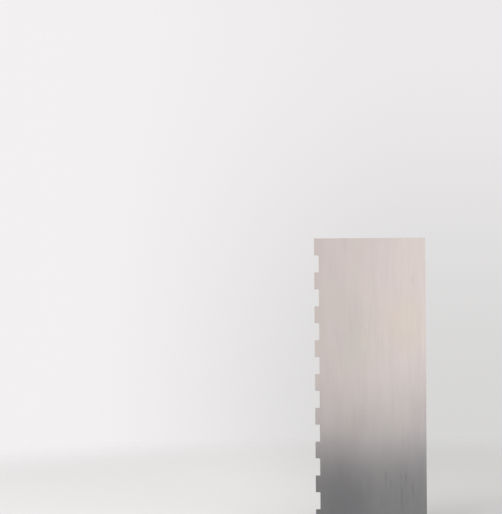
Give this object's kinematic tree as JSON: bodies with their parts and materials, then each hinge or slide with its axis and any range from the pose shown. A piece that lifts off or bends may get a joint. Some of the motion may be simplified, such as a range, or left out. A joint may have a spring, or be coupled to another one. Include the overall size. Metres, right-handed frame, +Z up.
{
  "type": "icing smoother",
  "caption": "Flat stainless steel icing smoother with a plain long edge and an opposite edge cut into square teeth that comb raised stripes into icing.",
  "frame": {"origin": "middle of the bottom edge, halfway through the sheet", "axes": "+Z up the plate as it is held against a cake, -X towards the toothed edge, +X towards the plain edge, -Y out of the front face"},
  "size_m": [0.0984, 0.001, 0.255],
  "materials": {
    "brushed_steel": "brushed along the plate's height, satin"
  },
  "bodies": {
    "root": {"comb_plate": "brushed_steel"}
  },
  "joints": []
}
